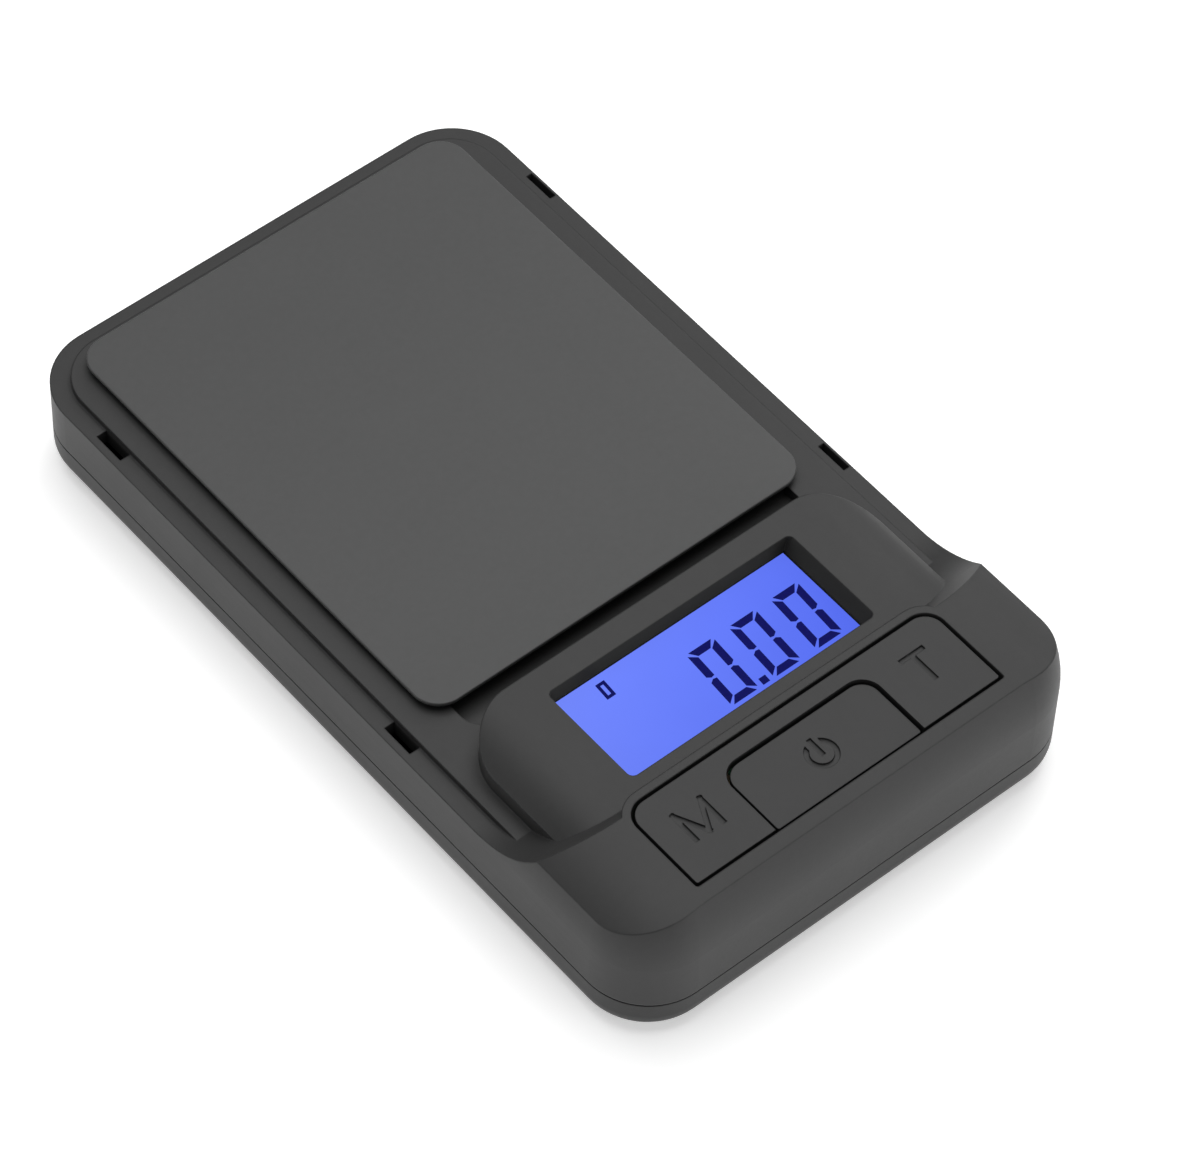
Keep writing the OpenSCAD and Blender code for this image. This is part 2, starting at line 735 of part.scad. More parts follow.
module platform_riser() {
    color("silver") difference() {
        middle_block(beam_w / 2, riser_y0, beam_y1, beam_top, bracket_z);
        for (y = free_screws_at) post([0, y], beam_screw_r + 0.1, beam_top - 1, bracket_z + 1);
    }
}

module platform_pads() {
    color([0.85, 0.85, 0.8])
        for (sx = [-1, 1], sy = [-1, 1])
            post([sx * bracket_w / 4, plat_mid + sy * bracket_l * 0.4], 3, bracket_z + bracket_t,
                plat_under);
}

module bracket_screws() {
    color(steel) for (y = free_screws_at) {
        post([0, y], beam_screw_r, beam_z + 0.6, bracket_z + bracket_t - 0.7);
        screw_cone(y, 0);
    }
}

module load_cell() {
    color("silver") difference() {
        middle_block(beam_w / 2, beam_y0, beam_y1, beam_z, beam_top);
        for (sy = [-1, 1])
            translate([0, plat_mid + sy * flexure_x, beam_z + beam_h / 2]) rotate([0, 90, 0])
                cylinder(h = beam_w + 2, r = flexure_r, center = true);
        middle_block(beam_w, plat_mid - flexure_x, plat_mid + flexure_x, beam_z + beam_h / 2 - 1.2,
            beam_z + beam_h / 2 + 1.2);
        for (y = concat(fixed_screws_at, free_screws_at))
            post([0, y], beam_screw_r + 0.1, beam_z - 1, beam_top + 1);
    }
}

module gauge_coating() {
    color([0.93, 0.93, 0.9]) for (z = [beam_z - coating_t, beam_top])
        slab(z, z + coating_t)
            translate([0, plat_mid]) plan(beam_w / 2 - 1.5, -flexure_x - 3, flexure_x + 3, 1.5, 1.5);
}

module load_cell_shim() {
    color(steel) difference() {
        middle_block(beam_w / 2, beam_y0, fixed_screws_at[1] + screw_end - 0.5, inside_z + boss_h, beam_z);
        for (y = fixed_screws_at) post([0, y], beam_screw_r + 0.1, 0, beam_z + 1);
    }
}

module load_cell_screws() {
    color(steel) for (y = fixed_screws_at) {
        post([0, y], beam_screw_r, base_z + 1.3, beam_top - 0.6);
        difference() {
            post([0, y], 2.6, base_z + 0.2, base_z + 1.4);
            middle_block_at(y, 0.3, 2, base_z, base_z + 0.7);
            middle_block_at(y, 2, 0.3, base_z, base_z + 0.7);
        }
    }
}

// A small block about the point (0, y), for a screw's cross slot
module middle_block_at(y, x, dy, z0, z1) {
    block(-x, x, y - dy, y + dy, z0, z1);
}

module load_cell_wires() {
    r = wire_d / 2;
    low = beam_top + r - 0.7;
    pitch = wire_d + 0.4;
    for (k = [0:3]) {
        x = (k - 1.5) * pitch;
        side = bay_half + 0.7 + k * (wire_d + 0.1);
        back = (3 - k) * pitch;
        color(["crimson", "black", "green", "white"][k])
            sweep(concat(
                bend([x, beam_y0 + 1.4, beam_top + r + 0.1], [0, -2, 0], [x, beam_y0 - 2.2, low],
                    [0, -1, 0], 6),
                bend([x, beam_y0 - 3 - back, low], [0, -4, 0], [side, bay_y1 + 6 - back, low],
                    [0, -4, 0], 10),
                bend([side, bay_y1, low + 0.7], [0, -2, 0], [side, board_y1 + r + 0.02, board_z + 0.6],
                    [0, 0, 3], 6)), r);
    }
}

module overload_stops() {
    color(steel) for (p = stops_at) difference() {
        post(p, 1.2, pocket_under - 0.4, bracket_z - plat_travel - 0.03);
        block(p[0] - 0.9, p[0] + 0.9, p[1] - 0.2, p[1] + 0.2, pocket_under - 1, pocket_under + 0.2);
    }
}

// ---- Keys ----

module power_plan(out) {
    plan(power_w / 2 + out, key_front - (out > 0 ? 3 : 0), power_rear + out, 0.3, power_r + out);
}

// A straight stroke from one point to another
module stroke(a, b) {
    run = b - a;
    translate(a) rotate(atan2(run[1], run[0])) translate([-mark_w / 2, -mark_w / 2])
        square([norm(run) + mark_w, mark_w]);
}

module mode_mark() {
    x = mark_l * 0.43;
    y = (mark_l - mark_w) / 2;
    for (sx = [-1, 1]) {
        stroke([sx * x, -y], [sx * x, y]);
        stroke([sx * x, y], [0, -y]);
    }
}

module tare_mark() {
    x = mark_l * 0.33;
    y = (mark_l - mark_w) / 2;
    stroke([0, -y], [0, y]);
    stroke([-x, y], [x, y]);
}

module power_mark() {
    r = mark_l * 0.45;
    difference() {
        circle(r);
        circle(r - mark_w);
        translate([-mark_l / 5, 0]) square([mark_l / 2.5, mark_l]);
    }
    stroke([0, 0], [0, mark_l * 0.45]);
}

// Cuts one key's mark into its top
module sink_mark(at, top) {
    translate([at[0], at[1], top - mark_depth]) linear_extrude(mark_depth + 1) children();
}

module bridge_key() {
    under = bridge_top - key_t;
    color(shell_black) difference() {
        union() {
            difference() {
                slab(under, bridge_top) plan(bridge_w / 2, key_front, key_rear, 0.3, keys_r - key_gap);
                slab(under - 1, bridge_top + 1) power_plan(key_gap);
            }
            for (sx = [-1, 1]) post([sx * side_key_x, side_key_y], 1.7, plunger_top, under + eps);
            pin_y(lug_y0, lug_y1, pivot_z, lug_r);
            block(-lug_r, lug_r, lug_y0, lug_y1, pivot_z, under + eps);
        }
        pin_y(lug_y0 - 1, lug_y1 + 1, pivot_z, pivot_r + pivot_clear);
        sink_mark([-side_key_x, side_key_y + 0.5], bridge_top) mode_mark();
        sink_mark([side_key_x, side_key_y + 0.5], bridge_top) tare_mark();
    }
}

module power_key() {
    under = power_top - key_t;
    color(shell_black) difference() {
        union() {
            slab(under, power_top) power_plan(0);
            post([0, power_key_y], 1.7, plunger_top, under + eps);
        }
        sink_mark([0, power_key_y], power_top) power_mark();
    }
}

module plunger(at) {
    post(at, plunger_r, plunger_foot, plunger_top);
}

module bridge_key_plungers() {
    color("ivory") for (k = [0, 2]) plunger(switch_places[k]);
}

module power_key_plunger() {
    color("ivory") plunger(switch_places[1]);
}

module key_pivot_pin() {
    color(steel) pin_y(pin_y0, pin_y1, pivot_z, pivot_r);
}

module key_switches() {
    color([0.12, 0.12, 0.12]) for (p = switch_places)
        difference() {
            translate([p[0], p[1], board_top + switch_h / 2])
                cube([switch_w, switch_w, switch_h], center = true);
            post(p, plunger_r + plunger_gap, board_top + 0.4, board_top + 5);
        }
}

// ---- Electronics ----

module circuit_board() {
    color([0.1, 0.35, 0.2]) difference() {
        middle_block(board_x, board_y0, board_y1, board_z, board_top);
        for (p = board_screws_at) post(p, 0.9, board_z - 1, board_top + 1);
    }
}

module controller_chip() {
    color([0.08, 0.08, 0.08])
        translate([side_key_x / 2, board_y1 - 6, board_top]) intersection() {
            scale(2) translate([0, 0, -1]) sphere(2);
            translate([-5, -5, 0]) cube([10, 10, 3]);
        }
}

module board_components() {
    for (k = [0:5])
        color(k % 2 == 0 ? [0.7, 0.6, 0.45] : [0.1, 0.1, 0.1])
            translate([-side_key_x / 2 - 4 + 1.8 * k, board_y1 - 3.4, board_top]) cube([1, 1.8, 0.6]);
}

module board_screws() {
    color(steel) for (p = board_screws_at) {
        post(p, 0.8, board_z - eps, board_top + 2.2);
        difference() {
            post(p, 1.4, board_z - 0.8, board_z);
            block(p[0] - 1, p[0] + 1, p[1] - 0.15, p[1] + 0.15, board_z - 1, board_z - 0.4);
            block(p[0] - 0.15, p[0] + 0.15, p[1] - 1, p[1] + 1, board_z - 1, board_z - 0.4);
        }
    }
}

module display_glass() {
    color([0.4, 0.48, 1]) middle_block(glass_w / 2, glass_y0, glass_y1, glass_z, glass_top);
}

module display_backlight() {
    color("white") middle_block(glass_w / 2 - 0.5, glass_y0 + 0.8, glass_y1 - 0.6, light_z,
        light_z + light_t);
}

module backlight_lamp() {
    color([0.9, 0.9, 0.6]) middle_block(1.6, glass_y1 - 0.6, glass_y1 + 0.1, light_z, light_z + 1);
}

module display_holder() {
    color([0.9, 0.9, 0.88]) difference() {
        middle_block(holder_x, glass_y0 - 0.2, holder_y1, tray_z, glass_top);
        middle_block(glass_w / 2 + holder_gap, glass_y0 - 1, glass_y1 + holder_gap, tray_z + tray_t,
            glass_top + 1);
    }
}

module display_gasket() {
    color([0.05, 0.05, 0.05]) slab(glass_top, glass_top + gasket_t) difference() {
        translate([-glass_w / 2 + 0.2, glass_y0 + 0.4]) square([glass_w - 0.4, glass_y1 - glass_y0 - 0.6]);
        translate([-window_w / 2 + window_lean_x, win_y0 + window_lean_y])
            square([window_w - 2 * window_lean_x, window_l - 2 * window_lean_y]);
    }
}

module display_pins() {
    pins = 12;
    pitch = (glass_w - 6) / (pins - 1);
    color(steel) for (k = [0:pins - 1]) {
        x = (k - (pins - 1) / 2) * pitch;
        block(x - 0.2, x + 0.2, board_y1 - 1.4, glass_y0 + 0.5, glass_z - 0.2, glass_z);
        block(x - 0.2, x + 0.2, board_y1 - 1.4, board_y1 - 0.8, board_top, glass_z - 0.1);
    }
}

module insulating_sheet() {
    color([0.2, 0.2, 0.18]) middle_block(bay_half - 0.5, bay_y0 - 0.5, bay_y1, sheet_z,
        sheet_z + sheet_t);
}

// ---- Cells and contacts ----

// Each cell lies across the case, the front one with its nub to the left
module cell_frame(k) {
    s = k == 0 ? 1 : -1;
    translate([0, cell_y[k], cell_z]) scale_x(s) translate([-bay_half, 0, 0]) children();
}

module scale_x(s) {
    if (s > 0) children();
    else mirror([1, 0, 0]) children();
}

module battery_cells() {
    nub = 1;
    for (k = [0, 1]) cell_frame(k) rotate([0, 90, 0]) {
        color([0.75, 0.62, 0.2]) translate([0, 0, contact_t]) cylinder(h = nub + eps, r = 1.9);
        color([0.2, 0.2, 0.22]) translate([0, 0, contact_t + nub])
            cylinder(h = cell_l - nub, r = cell_d / 2);
    }
}

module contact_springs() {
    turns = 3;
    steps = 14;
    wire = 0.3;
    color(steel) for (k = [0, 1]) cell_frame(k)
        sweep([for (i = [0:turns * steps])
            let (t = i / (turns * steps), a = 360 * i / steps, r = 3.4 - 1.6 * t)
            [2 * bay_half - contact_t - wire - t * (spring_l - 2 * wire), r * cos(a), r * sin(a)]],
            wire, 6);
}

module terminal_plates() {
    color(steel) for (k = [0, 1])
        block(-bay_half, -bay_half + contact_t, cell_y[k] - contact_w / 2, cell_y[k] + contact_w / 2,
            cell_z - contact_w / 2, bay_top + 1);
}

module joining_contact() {
    color(steel) block(bay_half - contact_t, bay_half, cell_y[0] - contact_w / 2,
        cell_y[1] + contact_w / 2, cell_z - contact_w / 2, bay_top);
}

module battery_wires() {
    x = -bay_half - wire_d / 2;
    for (k = [0, 1])
        color(["crimson", "black"][k])
            sweep(bend([x, cell_y[k], bay_top + wire_d / 2], [0, 0, 1],
                [x, cell_y[0] + 3 * k, board_z - 0.1], [0, 0, 1.5], 8), wire_d / 2);
}

module battery_door() {
    color(shell_black) {
        difference() {
            middle_block(door_x, hinge_y, door_y1, base_z, door_top);
            for (k = [0:4]) middle_block(5 - k * 0.5, door_y1 - 3 - k * 1.2, door_y1 - 2.6 - k * 1.2,
                base_z - 1, base_z + 0.3);
        }
        pin_x(door_x, hinge_y, hinge_z, door_t / 2);
        pin_x(hinge_x, hinge_y, hinge_z, hinge_r);
    }
}

// ---- Fasteners, feet and plate ----

module case_screws() {
    color(steel) for (p = case_screws_at) {
        post(p, screw_r, base_z + screw_head_h, pocket_under - 1.5);
        difference() {
            post(p, screw_head_r, base_z + 0.2, base_z + 0.2 + screw_head_h);
            block(p[0] - 1.2, p[0] + 1.2, p[1] - 0.2, p[1] + 0.2, base_z, base_z + 0.7);
            block(p[0] - 0.2, p[0] + 0.2, p[1] - 1.2, p[1] + 1.2, base_z, base_z + 0.7);
        }
    }
}

module rubber_feet() {
    color([0.1, 0.1, 0.1]) for (p = feet_at) post(p, foot_r, 0, base_z + foot_socket);
}

module rating_plate() {
    color([0.75, 0.76, 0.78]) middle_block(plate_w / 2, plat_mid + 8 - plate_l / 2,
        plat_mid + 8 + plate_l / 2, base_z, base_z + plate_t);
}

lower_shell();
upper_shell();
weighing_platform();
platform_bracket();
platform_riser();
platform_pads();
bracket_screws();
load_cell();
gauge_coating();
load_cell_shim();
load_cell_screws();
load_cell_wires();
overload_stops();
bridge_key();
power_key();
bridge_key_plungers();
power_key_plunger();
key_pivot_pin();
key_switches();
circuit_board();
controller_chip();
board_components();
board_screws();
display_glass();
display_backlight();
backlight_lamp();
display_holder();
display_gasket();
display_pins();
insulating_sheet();
battery_cells();
contact_springs();
terminal_plates();
joining_contact();
battery_wires();
battery_door();
case_screws();
rubber_feet();
rating_plate();
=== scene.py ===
"""Pocket gram scale: the visible pieces and finishes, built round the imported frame, in metres."""
import math

import bmesh
import bpy
from mathutils import Matrix, Vector


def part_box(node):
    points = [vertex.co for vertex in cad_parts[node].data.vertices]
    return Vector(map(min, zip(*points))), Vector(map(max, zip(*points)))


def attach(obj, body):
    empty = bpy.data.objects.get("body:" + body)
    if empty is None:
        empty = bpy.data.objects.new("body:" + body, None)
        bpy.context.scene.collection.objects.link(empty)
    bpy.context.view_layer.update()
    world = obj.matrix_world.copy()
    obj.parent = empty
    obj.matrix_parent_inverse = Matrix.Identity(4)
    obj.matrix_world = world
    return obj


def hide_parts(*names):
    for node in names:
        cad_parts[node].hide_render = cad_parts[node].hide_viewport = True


bl_info = {
    "name": "Pocket gram scale",
    "version": (1, 0, 0),
    "blender": (4, 5, 0),
    "location": "3D View > Sidebar > Scale",
    "description": "Builds the pieces, finishes and studio of a pocket gram scale",
    "category": "Object",
}

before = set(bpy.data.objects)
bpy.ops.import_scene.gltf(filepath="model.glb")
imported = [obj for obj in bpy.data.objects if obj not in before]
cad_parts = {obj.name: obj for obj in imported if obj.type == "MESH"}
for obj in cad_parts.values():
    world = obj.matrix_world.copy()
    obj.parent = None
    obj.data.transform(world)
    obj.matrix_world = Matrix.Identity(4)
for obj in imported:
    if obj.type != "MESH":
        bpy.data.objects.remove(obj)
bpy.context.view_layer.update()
MM = 0.001
WINDOW_LOW, WINDOW_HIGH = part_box("display_gasket")
GLASS_LOW, GLASS_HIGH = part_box("display_glass")

# The camera: angles in degrees, the rest in millimetres
CAMERA_AZIMUTH, CAMERA_ELEVATION, CAMERA_ROLL = -42.11, 52.68, 2.72
CAMERA_TARGET = (-0.52, -10.87, 13.2)
CAMERA_DISTANCE = 668.2
LENS_LENGTH = 166.0
SENSOR_WIDTH = 36.0

# The soft lights: name, place, aim, width and depth, power, in metres and watts
SOFTBOXES = (
    ("overhead", (0.10, 0.16, 0.86), (0, 0, 0), (0.95, 0.90), 6.4),
    ("key", (0.70, 0.35, 0.50), (0, 0, 0), (0.5, 0.5), 1.7),
    ("front", (0.30, -0.90, 0.24), (0, -0.03, 0.01), (0.7, 0.3), 2.5),
    ("left", (-0.85, 0.35, 0.30), (0, 0, 0.01), (0.6, 0.3), 0.7),
)
WORLD_LIGHT = 0.21
FLOOR_GLOW = 0.42
FLOOR_HALF = 3.0  # metres

# Corners of more than this many degrees are shaded sharp, and rounded where they stand out
CORNER_ANGLE = 28.0

# The display, in millimetres from the window's edges; the slant is a share of the height
FIGURES_TO_RIGHT = 22.1
FIGURES_TO_FRONT = 3.0
FIGURE_SLANT = 0.062
FIGURE_LIFT = 0.01
FIGURE_THICKNESS = 0.015
UNIT_TO_LEFT = 7.6
UNIT_TO_REAR = 4.2
UNIT_SIZE = (1.35, 2.5)
UNIT_STROKE = 0.44


# ---- Settings a user would change ----

class ScaleShape(bpy.types.PropertyGroup):
    """Sizes of the softened edges and of the figures on the display."""
    case_edge: bpy.props.FloatProperty(
        name="Case edge", description="Softening of the case's moulded edges",
        default=0.3 * MM, min=0.0, unit="LENGTH")
    platform_edge: bpy.props.FloatProperty(
        name="Platform edge", description="Softening of the platform's top edge",
        default=0.18 * MM, min=0.0, unit="LENGTH")
    key_edge: bpy.props.FloatProperty(
        name="Key edge", description="Softening of the keys' edges",
        default=0.16 * MM, min=0.0, unit="LENGTH")
    figure_width: bpy.props.FloatProperty(
        name="Figure width", description="Width of one figure on the display",
        default=4.25 * MM, unit="LENGTH")
    figure_height: bpy.props.FloatProperty(
        name="Figure height", description="Height of one figure on the display",
        default=9.1 * MM, unit="LENGTH")
    figure_pitch: bpy.props.FloatProperty(
        name="Figure pitch", description="Distance from one figure to the next",
        default=6.65 * MM, unit="LENGTH")
    figure_stroke: bpy.props.FloatProperty(
        name="Figure stroke", description="Thickness of the figures' bars",
        default=1.05 * MM, unit="LENGTH")


class ScaleFinish(bpy.types.PropertyGroup):
    """Colours of the finishes."""
    case: bpy.props.FloatVectorProperty(
        name="Case", description="Moulded plastic of the case", subtype="COLOR", size=3,
        default=(0.026, 0.026, 0.026), min=0.0, max=1.0)
    platform: bpy.props.FloatVectorProperty(
        name="Platform", description="Moulded plastic of the platform", subtype="COLOR", size=3,
        default=(0.054, 0.0545, 0.0545), min=0.0, max=1.0)
    keys: bpy.props.FloatVectorProperty(
        name="Keys", description="Moulded plastic of the keys", subtype="COLOR", size=3,
        default=(0.018, 0.018, 0.0182), min=0.0, max=1.0)
    display: bpy.props.FloatVectorProperty(
        name="Display", description="Light of the display", subtype="COLOR", size=3,
        default=(0.112, 0.182, 1.0), min=0.0, max=1.0)
    figures: bpy.props.FloatVectorProperty(
        name="Figures", description="Dark bars of the figures", subtype="COLOR", size=3,
        default=(0.003, 0.004, 0.085), min=0.0, max=1.0)


# ---- Finishes ----

class Value:
    """A shader socket that arithmetic is written on; each step adds a Math node."""

    def __init__(self, recipe, socket):
        self.recipe = recipe
        self.socket = socket

    def _step(self, operation, first, second=None):
        inputs = {0: first} if second is None else {0: first, 1: second}
        return self.recipe.add("ShaderNodeMath", {"operation": operation}, inputs)

    def __add__(self, other):
        return self._step("ADD", self, other)

    __radd__ = __add__

    def __sub__(self, other):
        return self._step("SUBTRACT", self, other)

    def __rsub__(self, other):
        return self._step("SUBTRACT", other, self)

    def __mul__(self, other):
        return self._step("MULTIPLY", self, other)

    __rmul__ = __mul__

    def __truediv__(self, other):
        return self._step("DIVIDE", self, other)

    def __pow__(self, other):
        return self._step("POWER", self, other)

    def __gt__(self, other):
        return self._step("GREATER_THAN", self, other)

    def __lt__(self, other):
        return self._step("LESS_THAN", self, other)

    def __abs__(self):
        return self._step("ABSOLUTE", self)

    def clamp(self):
        return self.recipe.add("ShaderNodeClamp", {}, {0: self})

    def larger(self, other):
        return self._step("MAXIMUM", self, other)


class Recipe:
    """One material: a Principled surface and the nodes that vary it."""

    def __init__(self, name, **constants):
        self.material = bpy.data.materials.new(name)
        self.material.use_nodes = True
        self.tree = self.material.node_tree
        self.tree.nodes.clear()
        out = self.tree.nodes.new("ShaderNodeOutputMaterial")
        self.surface = self.tree.nodes.new("ShaderNodeBsdfPrincipled")
        self.tree.links.new(self.surface.outputs[0], out.inputs["Surface"])
        for socket, value in constants.items():
            self.surface.inputs[socket.replace("_", " ")].default_value = value

    def add(self, kind, settings, inputs, out=0):
        """Adds a node of one kind, its settings first, then the values or links of its sockets."""
        node = self.tree.nodes.new(kind)
        for name, value in settings.items():
            setattr(node, name, value)
        for key, value in inputs.items():
            self.feed(node.inputs[key], value)
        return Value(self, node.outputs[out])

    def feed(self, socket, value):
        if isinstance(value, Value):
            self.tree.links.new(value.socket, socket)
        elif socket.type == "RGBA" and len(value) == 3:
            socket.default_value = (*value, 1.0)
        else:
            socket.default_value = value

    def set(self, **inputs):
        for socket, value in inputs.items():
            self.feed(self.surface.inputs[socket.replace("_", " ")], value)

    def place(self):
        return self.add("ShaderNodeTexCoord", {}, {}, "Object")

    def along(self, point, axis):
        return self.add("ShaderNodeSeparateXYZ", {}, {0: point}, axis)

    def noise(self, point, size, detail=3.0, roughness=0.55, stretch=None):
        """Cloudy noise from 0 to 1 whose lumps are about size metres across."""
        if stretch is not None:
            point = self.add("ShaderNodeMapping", {}, {"Vector": point, "Scale": stretch})
        return self.add("ShaderNodeTexNoise", {}, {"Vector": point, "Scale": 1.0 / size,
                        "Detail": detail, "Roughness": roughness}, 0)

    def cells(self, point, size):
        """Distance from the nearest of many scattered points, about size metres apart."""
        return self.add("ShaderNodeTexVoronoi", {}, {"Vector": point, "Scale": 1.0 / size}, "Distance")

    def blend(self, mask, first, second):
        """First colour where the mask is 0, second where it is 1."""
        return self.add("ShaderNodeMix", {"data_type": "RGBA"}, {0: mask, 6: first, 7: second}, 2)

    def bump(self, height, distance, strength=1.0, soften=0.0):
        """Relief on the surface, over edges rounded to a radius where one is given."""
        inputs = {"Height": height, "Distance": distance, "Strength": strength}
        if soften > 0:
            inputs["Normal"] = self.add("ShaderNodeBevel", {"samples": 8}, {"Radius": soften})
        return self.add("ShaderNodeBump", {}, inputs)


def shade(colour, amount):
    """A colour made lighter or darker by a factor."""
    return tuple(min(1.0, part * amount) for part in colour)


def moulded_plastic(name, colour, gloss=0.50, grain=0.09 * MM, depth=0.004 * MM, sheen=0.34,
                    soften=0.0):
    """Spark-textured moulding: fine pits, cloudy flow tone and faint rub marks."""
    skin = Recipe(name, Specular_IOR_Level=sheen)
    spot = skin.place()
    flow = skin.noise(spot, 14 * MM, 3.0)
    mottle = skin.noise(spot, 1.1 * MM, 4.0, 0.62)
    pits = skin.noise(spot, grain, 3.0, 0.7)
    specks = skin.cells(spot, grain * 1.7)
    rubs = skin.noise(spot, 0.5 * MM, 4.0, 0.6, stretch=(1.0, 0.09, 1.0))
    tone = skin.blend(flow, shade(colour, 0.90), shade(colour, 1.12))
    tone = skin.blend(((mottle - 0.5) * 0.7 + 0.18).clamp(), tone, shade(colour, 1.30))
    tone = skin.blend(((pits - 0.55) * 1.6).clamp() * 0.35, tone, shade(colour, 0.62))
    skin.set(Base_Color=tone)
    skin.set(Roughness=(gloss + (flow - 0.5) * 0.10 + (pits - 0.5) * 0.12 + (rubs - 0.5) * 0.07).clamp())
    skin.set(Normal=skin.bump(pits * 0.7 + specks * 0.5, depth, 0.55, soften))
    return skin


def rolled_metal(name, colour, gloss=0.32, stretch=(1.0, 0.03, 1.0), tarnish=0.10):
    """Metal with drawn scratches along one way and a cloudy tarnish."""
    skin = Recipe(name, Metallic=1.0)
    spot = skin.place()
    lines = skin.noise(spot, 0.12 * MM, 3.0, 0.6, stretch=stretch)
    clouds = skin.noise(spot, 3 * MM, 4.0)
    tone = skin.blend(clouds, shade(colour, 1.0 - tarnish), shade(colour, 1.0 + tarnish))
    tone = skin.blend(lines * 0.35, tone, shade(colour, 0.75))
    skin.set(Base_Color=tone)
    skin.set(Roughness=(gloss + (lines - 0.5) * 0.22 + (clouds - 0.5) * 0.16).clamp())
    skin.set(Normal=skin.bump(lines, 0.006 * MM, 0.6))
    return skin


def soft_rubber(name, colour, gloss=0.72):
    """Rubber or foam: dusty bloom over fine pores."""
    skin = Recipe(name, Specular_IOR_Level=0.35)
    spot = skin.place()
    bloom = skin.noise(spot, 2 * MM, 4.0, 0.65)
    pores = skin.cells(spot, 0.16 * MM)
    tone = skin.blend((bloom - 0.35).clamp() * 0.5, colour, shade(colour, 2.2))
    skin.set(Base_Color=tone)
    skin.set(Roughness=(gloss + (bloom - 0.5) * 0.2).clamp())
    skin.set(Normal=skin.bump(pores, 0.012 * MM, 0.6))
    return skin


def circuit_green(name):
    """Solder mask with buried tracks and the weave under it."""
    skin = Recipe(name, Coat_Roughness=0.12)
    spot = skin.place()
    x, y = skin.along(spot, 0), skin.along(spot, 1)
    tracks = skin.add("ShaderNodeTexWave", {"wave_type": "BANDS", "bands_direction": "X"},
                      {"Vector": spot, "Scale": 240.0, "Distortion": 2.0, "Detail": 1.0,
                       "Detail Scale": 0.4}, 0)
    weave = skin.noise(spot, 0.25 * MM, 2.0)
    lines = (tracks > 0.62) * ((x * 900.0 + y * 300.0) > -40.0)
    tone = skin.blend(lines, (0.012, 0.085, 0.035), (0.03, 0.19, 0.08))
    tone = skin.blend((weave - 0.45).clamp(), tone, (0.05, 0.22, 0.10))
    skin.set(Base_Color=tone)
    skin.set(Roughness=(0.33 + (weave - 0.5) * 0.15).clamp(), Coat_Weight=(0.5 + lines * 0.2).clamp())
    skin.set(Normal=skin.bump(tracks, 0.02 * MM, 0.4))
    return skin


def lit_glass(finish):
    """Blue backlit layer: an even glow, paler to the rear left, with faint diffuser grain."""
    skin = Recipe("display_glow", Roughness=0.30, Specular_IOR_Level=0.0, Emission_Strength=1.0)
    spot = skin.place()
    middle = (GLASS_LOW + GLASS_HIGH) / 2
    half = (GLASS_HIGH - GLASS_LOW) / 2
    x = (skin.along(spot, 0) - middle.x) / half.x
    y = (skin.along(spot, 1) - middle.y) / half.y
    grain = skin.noise(spot, 0.3 * MM, 2.0)
    swell = skin.noise(spot, 9 * MM, 2.0)
    edge = (abs(x) ** 6.0 + abs(y) ** 6.0).clamp()
    glow = (0.93 + y * 0.04 - x * 0.04 + (swell - 0.5) * 0.10 + (grain - 0.5) * 0.02
            - edge * 0.08).clamp()
    colour = tuple(finish.display)
    lit = skin.blend(glow, (0.0, 0.0, 0.02), colour)
    pale = skin.blend(((x * -0.5 + y * 0.2) * 0.25 + 0.12).clamp(), lit, (0.33, 0.43, 0.98))
    skin.set(Base_Color=shade(colour, 0.02), Emission_Color=pale)
    return skin


def figure_ink(finish):
    """Dark bars of liquid crystal: deep blue with a faint lighter grain."""
    skin = Recipe("display_figures", Specular_IOR_Level=0.02, Emission_Strength=1.0)
    spot = skin.place()
    grain = skin.noise(spot, 0.35 * MM, 3.0)
    colour = tuple(finish.figures)
    tone = skin.blend(grain, shade(colour, 0.7), shade(colour, 1.5))
    skin.set(Base_Color=shade(colour, 0.2), Emission_Color=tone, Roughness=(0.34 + grain * 0.1).clamp())
    return skin


def cell_sleeve(name):
    """Printed sleeve of a cell: dark body, with a coloured band and a bare cap at one end."""
    skin = Recipe(name, Coat_Roughness=0.08)
    spot = skin.place()
    low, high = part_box("battery_cells")
    x = (skin.along(spot, 0) - low.x) / (high.x - low.x)
    y = skin.along(spot, 1)
    flip = y > (low.y + high.y) / 2
    run = x * (1.0 - flip) + (1.0 - x) * flip
    band = run < 0.30
    cap = run < 0.035
    wear = skin.noise(spot, 1.2 * MM, 4.0, 0.7)
    tone = skin.blend(band, (0.018, 0.018, 0.022), (0.42, 0.20, 0.035))
    tone = skin.blend(cap, tone, (0.60, 0.59, 0.56))
    tone = skin.blend((wear - 0.6).clamp() * 0.6, tone, (0.25, 0.25, 0.24))
    skin.set(Base_Color=tone, Metallic=(band * 0.6 + cap * 0.4).clamp())
    skin.set(Roughness=(0.26 + wear * 0.14).clamp(), Coat_Weight=(0.6 - cap * 0.6).clamp())
    skin.set(Normal=skin.bump(wear, 0.01 * MM, 0.3))
    return skin


def wire_sleeve(name, colour):
    """Soft insulation with a fine mottle."""
    skin = Recipe(name, Specular_IOR_Level=0.5)
    spot = skin.place()
    flecks = skin.noise(spot, 0.4 * MM, 3.0)
    tone = skin.blend(flecks, shade(colour, 0.8), shade(colour, 1.2))
    skin.set(Base_Color=tone, Roughness=(0.38 + flecks * 0.15).clamp())
    skin.set(Normal=skin.bump(flecks, 0.01 * MM, 0.3))
    return skin


